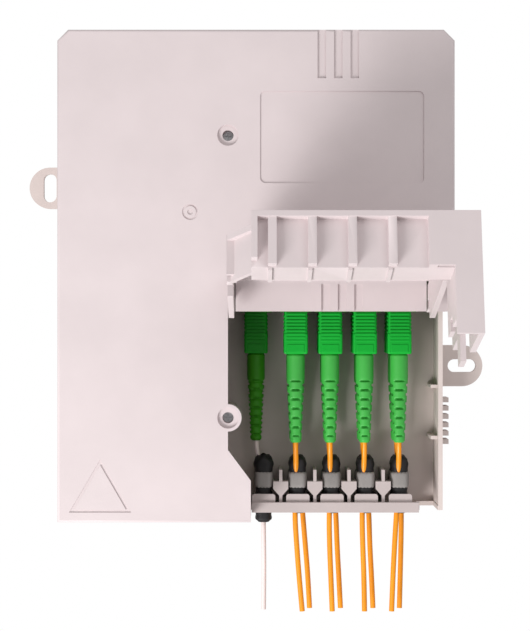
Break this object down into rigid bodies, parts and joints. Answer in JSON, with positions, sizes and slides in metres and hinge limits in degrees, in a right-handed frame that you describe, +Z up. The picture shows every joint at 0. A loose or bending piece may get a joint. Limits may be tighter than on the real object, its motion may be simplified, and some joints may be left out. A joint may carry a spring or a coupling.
{
  "type": "fiber termination box",
  "caption": "Flat wall box with a screwed cover, an upward-hinged patch door over stacked optical adapters, green plugs, a cord entry comb and an inner splice tray.",
  "frame": {"origin": "middle of the base shell's back face, on the wall plane", "axes": "+X right seen from the front, +Y back into the wall, +Z up"},
  "size_m": [0.176, 0.1292, 0.2176],
  "materials": {
    "shell": "fine matte moulding texture",
    "inner_shell": "fine matte moulding texture",
    "steel": "zinc plated",
    "adapter": "moulded",
    "drop_plug": "satin moulded",
    "drop_boot": "satin moulded",
    "plug": "satin moulded",
    "boot": "satin moulded",
    "black_rubber": "matte",
    "tie": "matte",
    "drop_cord": "satin jacket",
    "cord": "satin jacket",
    "splice": "clear sleeve over a steel rod",
    "tray": "moulded"
  },
  "bodies": {
    "box": {"adapter_1": "adapter", "adapter_2": "adapter", "adapter_3": "adapter", "adapter_4": "adapter", "adapter_5": "adapter", "adapter_bracket": "inner_shell", "base_shell": "shell", "boot_back_1": "drop_boot", "boot_back_2": "boot", "boot_back_3": "boot", "boot_back_4": "boot", "boot_back_5": "boot", "boot_front_2": "boot", "boot_front_3": "boot", "boot_front_4": "boot", "boot_front_5": "boot", "cord_back_1": "drop_cord", "cord_back_2": "cord", "cord_back_3": "cord", "cord_back_4": "cord", "cord_back_5": "cord", "cord_front_2": "cord", "cord_front_3": "cord", "cord_front_4": "cord", "cord_front_5": "cord", "cord_tie_1": "tie", "cord_tie_2": "tie", "cord_tie_3": "tie", "cord_tie_4": "tie", "cord_tie_5": "tie", "cover_screw_lower": "steel", "cover_screw_upper": "steel", "entry_comb": "inner_shell", "feeder_grommet": "black_rubber", "fiber_reel": "tray", "hinge_pin_left": "steel", "hinge_pin_right": "steel", "main_cover": "shell", "plug_back_1": "drop_plug", "plug_back_2": "plug", "plug_back_3": "plug", "plug_back_4": "plug", "plug_back_5": "plug", "plug_front_2": "plug", "plug_front_3": "plug", "plug_front_4": "plug", "plug_front_5": "plug", "sleeve_1": "black_rubber", "sleeve_2": "black_rubber", "sleeve_3": "black_rubber", "sleeve_4": "black_rubber", "sleeve_5": "black_rubber", "splice_holder": "tray", "splice_sleeves": "splice", "splice_tray": "tray"},
    "door": {"patch_door": "shell"}
  },
  "joints": [
    {"name": "door_hinge", "type": "hinge", "parent": "box", "child": "door", "pos_m": [0, -0.038, -0.006], "axis": [1, 0, 0], "range_deg": [0, 105]}
  ]
}
